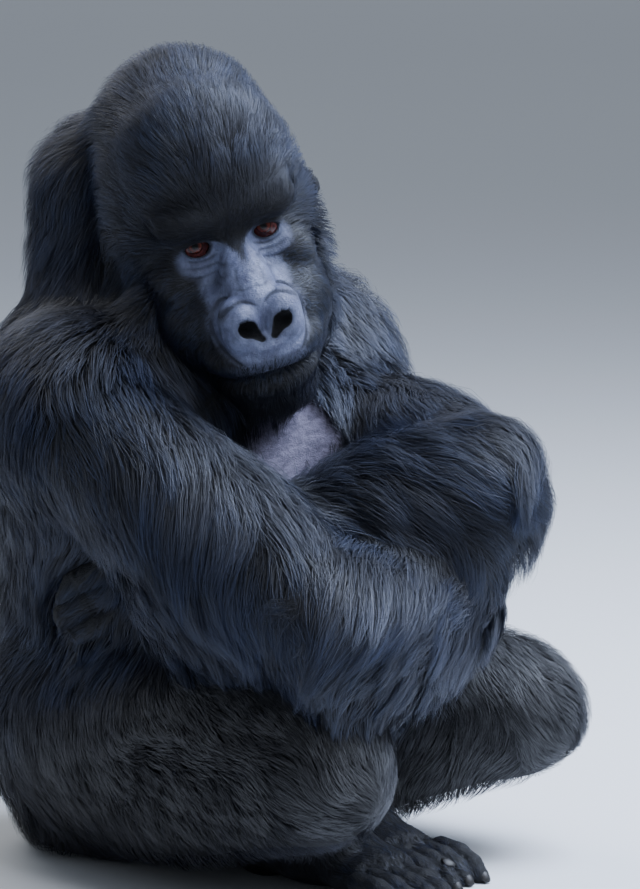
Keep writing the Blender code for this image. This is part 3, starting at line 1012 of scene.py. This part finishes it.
def tuft_tree():
    """Geometry nodes that stand a bent ribbon on every root."""
    tree = bpy.data.node_groups.new("Tufts", "GeometryNodeTree")
    face = tree.interface
    face.new_socket("Roots", in_out="INPUT", socket_type="NodeSocketGeometry")
    face.new_socket("Tuft", in_out="INPUT", socket_type="NodeSocketObject")
    patch = face.new_socket("Patch", in_out="INPUT", socket_type="NodeSocketFloat")
    patch.default_value = 0.003
    face.new_socket("Fur", in_out="INPUT", socket_type="NodeSocketMaterial")
    face.new_socket("Coat", in_out="OUTPUT", socket_type="NodeSocketGeometry")
    inputs = tree.nodes.new("NodeGroupInput").outputs
    root = add(tree, "GeometryNodeInputPosition").outputs[0]
    kept = add(
        tree, "GeometryNodeStoreNamedAttribute", inputs["Roots"], None, "root", root,
        data_type="FLOAT_VECTOR", domain="POINT",
    )
    points = add(tree, "GeometryNodeMeshToPoints", kept.outputs[0])
    tuft = add(tree, "GeometryNodeObjectInfo", inputs["Tuft"])
    placed = add(tree, "GeometryNodeInstanceOnPoints", points.outputs[0])
    tree.links.new(tuft.outputs["Geometry"], placed.inputs["Instance"])
    solid = add(tree, "GeometryNodeRealizeInstances", placed.outputs[0])
    along = named(tree, "along")
    line = [named(tree, name, "FLOAT_VECTOR") for name in ("root", "bend_1", "bend_2", "bend_3")]
    while len(line) > 1:
        line = [blend_vectors(tree, along, a, b) for a, b in zip(line, line[1:])]
    side = add(tree, "ShaderNodeVectorMath", named(tree, "across", "FLOAT_VECTOR"), operation="SCALE")
    tree.links.new(named(tree, "side"), side.inputs["Scale"])
    place = add(tree, "ShaderNodeVectorMath", line[0], side.outputs[0], operation="ADD")
    bent = add(tree, "GeometryNodeSetPosition", solid.outputs[0], None, place.outputs[0])
    spread = add(tree, "ShaderNodeMath", named(tree, "side"), 0.5, operation="MULTIPLY")
    corner = add(tree, "ShaderNodeCombineXYZ", spread.outputs[0], along)
    small = add(tree, "ShaderNodeVectorMath", corner.outputs[0], operation="SCALE")
    tree.links.new(inputs["Patch"], small.inputs["Scale"])
    sheet = named(tree, "sheet", "FLOAT_VECTOR")
    sheet = add(tree, "ShaderNodeVectorMath", sheet, small.outputs[0], operation="ADD")
    mapped = add(
        tree, "GeometryNodeStoreNamedAttribute", bent.outputs[0], None, "OFBake", sheet.outputs[0],
        data_type="FLOAT2", domain="CORNER",
    )
    painted = add(tree, "GeometryNodeSetMaterial", mapped.outputs[0], None, inputs["Fur"])
    add(tree, "NodeGroupOutput", painted.outputs[0])
    return tree


def blend_vectors(tree, share, a, b):
    mixed = add(tree, "ShaderNodeMix", data_type="VECTOR")
    for value, key in ((share, "Factor"), (a, "A"), (b, "B")):
        sockets = [s for s in mixed.inputs if s.name == key and s.enabled]
        tree.links.new(value, sockets[0])
    return next(s for s in mixed.outputs if s.enabled)


def vectors(mesh, name):
    """A vector attribute of a mesh as an array."""
    values = np.zeros(len(mesh.vertices) * 3, np.float32)
    mesh.attributes[name].data.foreach_get("vector", values)
    return values.reshape(-1, 3)


def round_off(mesh):
    """Shades each tuft as a soft round lock that leans towards the skin's own normal."""
    own = np.zeros(len(mesh.vertices) * 3, np.float32)
    mesh.vertex_normals.foreach_get("vector", own)
    side = np.zeros(len(mesh.vertices), np.float32)
    mesh.attributes["side"].data.foreach_get("value", side)
    bulge = unit(vectors(mesh, "across")) * side[:, None]
    mesh.normals_split_custom_set_from_vertices(
        unit(OWN_NORMAL * own.reshape(-1, 3) + SKIN_NORMAL * vectors(mesh, "up") + ROUND_NORMAL * bulge)
    )


def grow(name, roots, tree, stations, material):
    """Makes one coat piece from its roots."""
    coat = link(name, roots)
    tuft = ribbon(stations)
    stand = coat.modifiers.new("tufts", "NODES")
    stand.node_group = tree
    sockets = {item.name: item.identifier for item in tree.interface.items_tree if item.in_out == "INPUT"}
    stand[sockets["Tuft"]] = tuft
    stand[sockets["Fur"]] = material
    applied(coat)
    bpy.data.objects.remove(tuft)
    shade_smooth(coat.data)
    round_off(coat.data)
    for spare in ("bend_1", "bend_2", "bend_3", "across", "sheet", "side", "root", "up"):
        kept = coat.data.attributes.get(spare)
        if kept:
            coat.data.attributes.remove(kept)
    return coat


# ---------------------------------------------------------------- materials


def colour(code):
    """Linear colour of a hex sRGB code."""
    parts = [int(code[i : i + 2], 16) / 255 for i in (1, 3, 5)]
    return (*[c / 12.92 if c <= 0.04045 else ((c + 0.055) / 1.055) ** 2.4 for c in parts], 1)


def blank_material(name, **constants):
    """(material, tree, shader) with constants on the shader's own sockets."""
    made = bpy.data.materials.new(name)
    made.use_nodes = True
    tree = made.node_tree
    shader = tree.nodes["Principled BSDF"]
    for key, value in constants.items():
        shader.inputs[key.replace("_", " ")].default_value = value
    return made, tree, shader


def painted(tree, name):
    """The shader's view of an attribute on the piece."""
    return add(tree, "ShaderNodeAttribute", attribute_name=name).outputs["Fac"]


def mix(tree, share, a, b, how="MIX"):
    """Mixes two colours, each a socket or a hex code."""
    node = tree.nodes.new("ShaderNodeMix")
    node.data_type = "RGBA"
    node.blend_type = how
    a, b = (colour(tint) if isinstance(tint, str) else tint for tint in (a, b))
    feed(tree, node, {0: share, 6: a, 7: b})
    return node.outputs[2]


def remap(tree, value, low, high, start=0.0, end=1.0):
    node = add(tree, "ShaderNodeMapRange", value, low, high, start, end)
    node.interpolation_type = "SMOOTHSTEP"
    return node.outputs[0]


def noise(tree, size_mm, detail=3.0, stretch=(1, 1, 1), rough=0.5):
    """Noise whose features are about size_mm across on the object."""
    at = add(tree, "ShaderNodeTexCoord").outputs["Object"]
    scaled = add(tree, "ShaderNodeMapping", at)
    scaled.inputs["Scale"].default_value = stretch
    node = add(tree, "ShaderNodeTexNoise", scaled.outputs[0], None, 1 / (size_mm * MM), detail, rough)
    return node.outputs["Fac"]


def bump(tree, shader, *layers):
    """Stacks (height, depth in mm) bumps on a shader."""
    normal = None
    for height, deep in layers:
        node = add(tree, "ShaderNodeBump", 1.0, deep * MM)
        feed(tree, node, {"Height": height, "Normal": normal})
        normal = node.outputs[0]
    tree.links.new(normal, shader.inputs["Normal"])


def fur_colour(tree, along, shade, grey):
    """Blue-black hair, silver-brown where the coat is grey. Painted shade darkens both towards the root;
    shade darkens them further, by a random tone and, on the coat, by the painted shade of the brow and
    hollows.
    """
    # Painted shade: near black at the root, as inside the coat, paler towards the tip.
    black = mix(tree, remap(tree, along, 0.15, 1.0), "#04060a", "#222d47")
    warm = mix(tree, remap(tree, noise(tree, 90, 2), 0.35, 0.70), black, "#2b2728")
    black = mix(tree, 0.16, black, warm)
    # The silver hair has painted shade too: dark at the root.
    silver = mix(tree, remap(tree, along, 0.2, 1.0), "#121214", "#64635f")
    mixed = mix(tree, grey, black, silver)
    # shade darkens towards black: a random tone per lock, plus on the coat the painted shade of the brow and
    # hollows.
    return mix(tree, remap(tree, shade, 0.15, 1.0, 0.0, 0.85), mixed, "#050508")


def fur_material():
    """Gorilla hair: near black with a soft cool gloss along each lock."""
    made, tree, shader = blank_material(
        "guard hair", IOR=1.55, Specular_IOR_Level=0.40, Sheen_Weight=0.05, Sheen_Roughness=0.45
    )
    shader.inputs["Sheen Tint"].default_value = colour("#aebcff")
    tint = fur_colour(tree, painted(tree, "along"), painted(tree, "shade"), painted(tree, "grey"))
    tree.links.new(tint, shader.inputs["Base Color"])
    tree.links.new(remap(tree, painted(tree, "shade"), 0.55, 1.0, 0.50, 0.85), shader.inputs["Roughness"])
    return made


def skin_material():
    """Bare hide: leathery with a damp sheen on the face, mauve-grey on the chest, black under the coat."""
    made, tree, shader = blank_material("bare hide", IOR=1.42, Specular_IOR_Level=0.55)
    under = fur_colour(tree, 0.15, noise(tree, 9), painted(tree, "grey"))
    face = mix(tree, remap(tree, noise(tree, 14, 4), 0.3, 0.7), "#53576f", "#6c728b")
    veins = remap(tree, noise(tree, 5, 4, (1, 1, 0.45), 0.65), 0.56, 0.40)
    face = mix(tree, mix(tree, 0.24, (0, 0, 0, 1), veins), face, "#2a2c3a")
    # Painted shade: by dark the face goes near black in and round the nostrils, in the folds, above the eyes
    # and along the mouth.
    face = mix(tree, painted(tree, "dark"), face, "#060609")
    chest = mix(tree, remap(tree, noise(tree, 12, 5, (1, 1, 2.2), 0.6), 0.3, 0.7), "#5d596a", "#7f7a8e")
    hide = mix(tree, painted(tree, "bare"), under, face)
    hide = mix(tree, painted(tree, "chest"), hide, chest)
    tree.links.new(hide, shader.inputs["Base Color"])
    gloss = mix(tree, painted(tree, "bare"), (0.75, 0.75, 0.75, 1), (0.31, 0.31, 0.31, 1))
    gloss = mix(tree, painted(tree, "dark"), gloss, (0.95, 0.95, 0.95, 1))
    tree.links.new(gloss, shader.inputs["Roughness"])
    pores = add(tree, "ShaderNodeTexVoronoi", None, None, 1 / (1.6 * MM))
    tree.links.new(add(tree, "ShaderNodeTexCoord").outputs["Object"], pores.inputs["Vector"])
    bump(
        tree,
        shader,
        (noise(tree, 5, 5, rough=0.6), 1.7),
        (noise(tree, 2.2, 4, (0.8, 0.8, 2.8), 0.6), 0.75),
        (pores.outputs["Distance"], 0.25),
    )
    return made


def eye_material():
    """A wet eye: black pupil, chestnut iris with fine spokes and a dark rim, brown white of the eye."""
    made, tree, shader = blank_material(
        "wet eye", Roughness=0.06, IOR=1.36, Specular_IOR_Level=0.32, Coat_Weight=0.12
    )
    ring = painted(tree, "ring")
    spokes = remap(tree, noise(tree, 1.1, 4), 0.3, 0.7)
    iris = mix(tree, spokes, "#2a100b", "#5c2419")
    iris = mix(tree, remap(tree, ring, 0.18, 0.36), "#170704", iris)
    white = mix(tree, remap(tree, noise(tree, 4, 3), 0.3, 0.7), "#241110", "#4a2422")
    iris = mix(tree, remap(tree, ring, 0.40, 0.50), iris, "#1a0a07")
    eye = mix(tree, remap(tree, ring, 0.50, 0.56), iris, white)
    eye = mix(tree, remap(tree, ring, 0.17, 0.21), "#020202", eye)
    tree.links.new(eye, shader.inputs["Base Color"])
    return made


def nail_material():
    """Horn: black-brown and faintly ridged."""
    made, tree, shader = blank_material("nail horn", Roughness=0.48, IOR=1.54)
    tone = mix(tree, remap(tree, noise(tree, 3, 3), 0.3, 0.7), "#0f0d0b", "#211d1a")
    tree.links.new(tone, shader.inputs["Base Color"])
    bump(tree, shader, (noise(tree, 1.2, 2, (4, 1, 1)), 0.15))
    return made


def floor_material():
    """A matt pale studio floor."""
    made, tree, shader = blank_material("studio floor", Roughness=0.8)
    tone = mix(tree, remap(tree, noise(tree, 9000, 2), 0.3, 0.7), "#dfe1e3", "#e2e4e6")
    tree.links.new(tone, shader.inputs["Base Color"])
    return made


# ---------------------------------------------------------------- eyes

GAZE = (-45.0, 4.0)  # azimuth and elevation that the eyes look to, degrees


def heading(azimuth, elevation):
    """A unit vector to a view: azimuth 0 is in front, at -Y, and grows towards +X."""
    a, e = math.radians(azimuth), math.radians(elevation)
    return Vector((math.sin(a) * math.cos(e), -math.cos(a) * math.cos(e), math.sin(e)))


def make_eye(name, material):
    """A ball with a clear bulge over its iris. ring is the sine of the angle from the gaze."""
    shape = bmesh.new()
    bmesh.ops.create_uvsphere(shape, u_segments=48, v_segments=32, radius=EYE_RADIUS)
    mesh = mesh_of(shape, name)
    surface = Surface(mesh)
    flat = np.linalg.norm(surface.at[:, :2], axis=1) / EYE_RADIUS
    ring = np.where(surface.at[:, 2] > 0, flat, 2 - flat)
    surface.at *= (1 + 0.045 * (1 - ease(ring, 0.0, 0.62)))[:, None]
    aim = np.array(heading(*GAZE).to_track_quat("Z", "Y").to_matrix())
    put_points(mesh, surface.at @ aim.T + node_centre(name))
    put_attribute(mesh, "ring", ring)
    shade_smooth(mesh)
    return finished(link(name.replace("eye", "eyeball"), mesh), material, [name])


# ---------------------------------------------------------------- nails


def add_nail(shape, place, digit, size):
    """A curved plate over the top of a digit's end."""
    line, spread, down = digit
    point, radius = line[-1]
    turn = Matrix.Rotation(spread, 4, "Z") @ Matrix.Rotation(down + 0.25, 4, "X")
    lift = Matrix.Translation((0, -0.40 * radius, 0.86 * radius))
    where = place @ Matrix.Translation(point) @ turn @ lift
    made = bmesh.ops.create_uvsphere(shape, u_segments=16, v_segments=10, radius=1)["verts"]
    wide, long, thick = (value * MM for value in size)
    for vert in made:
        across, along, up = vert.co
        droop = 0.45 * wide * across**2 + 0.15 * long * along**2
        vert.co = where @ Vector((across * wide, along * long, up * thick - droop))
        vert.co.z = max(vert.co.z, FLOOR_GAP)


def make_nails(name, material):
    """Nails for every digit whose end isn't pressed into the body."""
    tree, owner, _ = frame_tree()
    shape = bmesh.new()
    for limb, (place, digits) in digit_places().items():
        for index, digit in enumerate(digits):
            top = place @ (digit[0][-1][0] + Vector((0, 0, digit[0][-1][1])))
            _, _, face, away = tree.find_nearest(top)
            if FLESH[owner[face]] != limb or away > NAIL_LOOSE:
                continue
            big = limb.startswith("foot") and index == len(digits) - 1
            add_nail(shape, place, digit, BIG_TOE_NAIL if big else NAIL)
    mesh = mesh_of(shape, name)
    shade_smooth(mesh)
    return finished(link(name, mesh), material)


# ---------------------------------------------------------------- stage

CAMERA_VIEW = (-45.0, 8.0)  # azimuth and elevation, degrees
CAMERA_DISTANCE = 4.8
CAMERA_LENS = 186.6  # mm
CAMERA_TARGET = Vector((0.0707, -0.0707, 0.431))
FLOOR_RADIUS = 60.0
LAMPS = (  # (name, view in degrees, distance and size in metres, power in watts, tint)
    ("sky lamp", (52, 62), 2.8, 2.0, 235, "#d6e4ff"),
    ("front lamp", (-15, 46), 3.2, 1.4, 48, "#e4ecff"),
    ("side lamp", (45, 42), 3.0, 1.6, 68, "#d8e6ff"),
    ("back lamp", (180, 45), 3.0, 1.8, 34, "#ffffff"),
)
SKY_TINT, SKY_STRENGTH = "#cad3e1", 0.52


def aimed(name, data, view, distance):
    """Sets a lamp or a camera at a distance in a view's direction, to look at the model's middle."""
    made = link(name, data)
    away = heading(*view)
    made.location = CAMERA_TARGET + away * distance
    made.rotation_euler = (-away).to_track_quat("-Z", "Y").to_euler()
    return made


def make_camera():
    data = bpy.data.cameras.new("camera")
    data.lens = CAMERA_LENS
    bpy.context.scene.camera = aimed("camera", data, CAMERA_VIEW, CAMERA_DISTANCE)


def make_light(name, view, distance, size, power, tint):
    """A square lamp."""
    data = bpy.data.lights.new(name, "AREA")
    data.size = size
    data.energy = power
    data.color = colour(tint)[:3]
    aimed(name, data, view, distance)


def make_stage(material):
    """Plain pale floor out to the horizon, soft lamps and an even sky."""
    shape = bmesh.new()
    bmesh.ops.create_circle(shape, cap_ends=True, segments=64, radius=FLOOR_RADIUS)
    floor = link("floor", mesh_of(shape, "floor"))
    floor.data.materials.append(material)
    for lamp in LAMPS:
        make_light(*lamp)
    world = bpy.data.worlds.new("sky")
    bpy.context.scene.world = world
    world.use_nodes = True
    sky = world.node_tree.nodes["Background"]
    sky.inputs["Color"].default_value = colour(SKY_TINT)
    sky.inputs["Strength"].default_value = SKY_STRENGTH


# ---------------------------------------------------------------- the add-on


class FaceSettings(PropertyGroup):
    rounds: IntProperty(name="Rounds", description="Times that the face settles", default=6, min=1)


class CoatSettings(PropertyGroup):
    length: FloatProperty(name="Length", description="Share of the usual length", default=1.0, min=0.1)
    width: FloatProperty(name="Width", description="Share of the usual width", default=1.0, min=0.1)
    clump: FloatProperty(name="Clump", description="Share of the usual clumping", default=1.0, min=0, max=1.3)
    stray: FloatProperty(name="Stray", description="Share of the usual straying", default=1.0, min=0)


COATS = {  # piece: (kinds of part, ribbon stations)
    "coat_crest": (("crest",), 3),
    "coat_cheeks": (("head",), 3),
    "coat_neck": (("neck",), 3),
    "coat_back": (("back",), 3),
    "coat_flanks": (("trunk",), 3),
    "coat_upper_arms": (("upper_arm",), 4),
    "coat_forearm_right": (("forearm_right",), 4),
    "coat_forearm_left": (("forearm_left",), 4),
    "coat_thighs": (("thigh",), 3),
    "coat_lower_legs": (("lower_leg",), 3),
    "coat_hands_feet_ears": (("hand", "foot", "ear"), 3),
}
CREST_FROM = 0.045  # the height on the head, in metres, from which its hair belongs to the crest
BACK_FROM = 0.110  # the depth, in metres, from which the trunk's hair belongs to the back
MODEL = {}  # what one operator hands to the next


class SkinOperator(Operator):
    """Fuse the flesh into one skin, sink it under the coat and sculpt the face."""

    bl_idname = "gorilla.skin"
    bl_label = "Skin"

    def execute(self, context):
        tree, owner, _ = frame_tree()
        skin = fused_flesh()
        soft = sink(skin, tree, owner)
        thin_out(skin, soft, SKIN_TRIANGLES)
        for limit in (face_share, bare_face):
            sculpt_face(skin, 2)
            surface = Surface(skin.data)
            refine(skin, limit(to_head(surface.at)) > 0.15)
        sculpt_face(skin, context.scene.gorilla_face.rounds)
        wrinkle(skin)
        sculpt_details(skin)
        shade_smooth(skin.data)
        pelt = Pelt(skin, tree, owner)
        put_attribute(skin.data, "bare", np.maximum(pelt.bare, thin_hair(pelt.q)))
        # dark holds the face's painted shade.
        put_attribute(skin.data, "dark", painted_face_shade(pelt.q))
        for name in ("chest", "grey"):
            put_attribute(skin.data, name, getattr(pelt, name))
        MODEL["pelt"] = pelt
        finished(skin, skin_material(), FLESH)
        return {"FINISHED"}


class EyesOperator(Operator):
    """Set a wet eye behind each pair of lids."""

    bl_idname = "gorilla.eyes"
    bl_label = "Eyes"

    def execute(self, context):
        material = eye_material()
        for name in EYES:
            make_eye(name, material)
        return {"FINISHED"}


class NailsOperator(Operator):
    """Set a horn nail on every finger and toe whose end isn't pressed into the body."""

    bl_idname = "gorilla.nails"
    bl_label = "Nails"

    def execute(self, context):
        make_nails("nails", nail_material())
        return {"FINISHED"}


class CoatOperator(Operator):
    """Grow the coat from the skin."""

    bl_idname = "gorilla.coat"
    bl_label = "Coat"

    def execute(self, context):
        pelt = MODEL.get("pelt")
        if pelt is None:
            raise RuntimeError("the coat grows on the skin, so make the skin first")
        fur = fur_material()
        tree = tuft_tree()
        kinds = np.array([node_kind(name) for name in FLESH], "U20")[pelt.owned]
        kinds[(kinds == "head") & (pelt.q[:, 2] > CREST_FROM)] = "crest"
        kinds[(kinds == "trunk") & (pelt.at[:, 1] > BACK_FROM)] = "back"
        forearm = kinds == "forearm"
        kinds[forearm] = np.array(FLESH)[pelt.owned[forearm]]
        for index, (piece, (grown_on, stations)) in enumerate(COATS.items()):
            chosen = np.isin(kinds, grown_on).astype(float)
            roots = tufts(pelt, chosen, SEED + index, context.scene.gorilla_coat)
            finished(grow(piece, roots, tree, stations, fur), fur)
        return {"FINISHED"}


class StageOperator(Operator):
    """Set out the floor, the lamps and the camera."""

    bl_idname = "gorilla.stage"
    bl_label = "Stage"

    def execute(self, context):
        make_stage(floor_material())
        make_camera()
        return {"FINISHED"}


class GorillaPanel(Panel):
    """Builds the gorilla step by step."""

    bl_idname = "VIEW3D_PT_gorilla"
    bl_label = "Gorilla"
    bl_space_type = "VIEW_3D"
    bl_region_type = "UI"
    bl_category = "Gorilla"

    def draw(self, context):
        layout = self.layout
        layout.prop(context.scene.gorilla_face, "rounds")
        for name in ("length", "width", "clump", "stray"):
            layout.prop(context.scene.gorilla_coat, name)
        for operator in OPERATORS:
            layout.operator(operator.bl_idname)


OPERATORS = (SkinOperator, EyesOperator, NailsOperator, CoatOperator, StageOperator)
CLASSES = (FaceSettings, CoatSettings, *OPERATORS, GorillaPanel)


def register():
    for item in CLASSES:
        bpy.utils.register_class(item)
    bpy.types.Scene.gorilla_face = PointerProperty(type=FaceSettings)
    bpy.types.Scene.gorilla_coat = PointerProperty(type=CoatSettings)


def unregister():
    del bpy.types.Scene.gorilla_coat
    del bpy.types.Scene.gorilla_face
    for item in reversed(CLASSES):
        bpy.utils.unregister_class(item)


def main():
    register()
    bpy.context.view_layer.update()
    bpy.ops.gorilla.skin()
    bpy.ops.gorilla.eyes()
    bpy.ops.gorilla.nails()
    bpy.ops.gorilla.coat()
    bpy.ops.gorilla.stage()


if __name__ == "__main__":
    main()
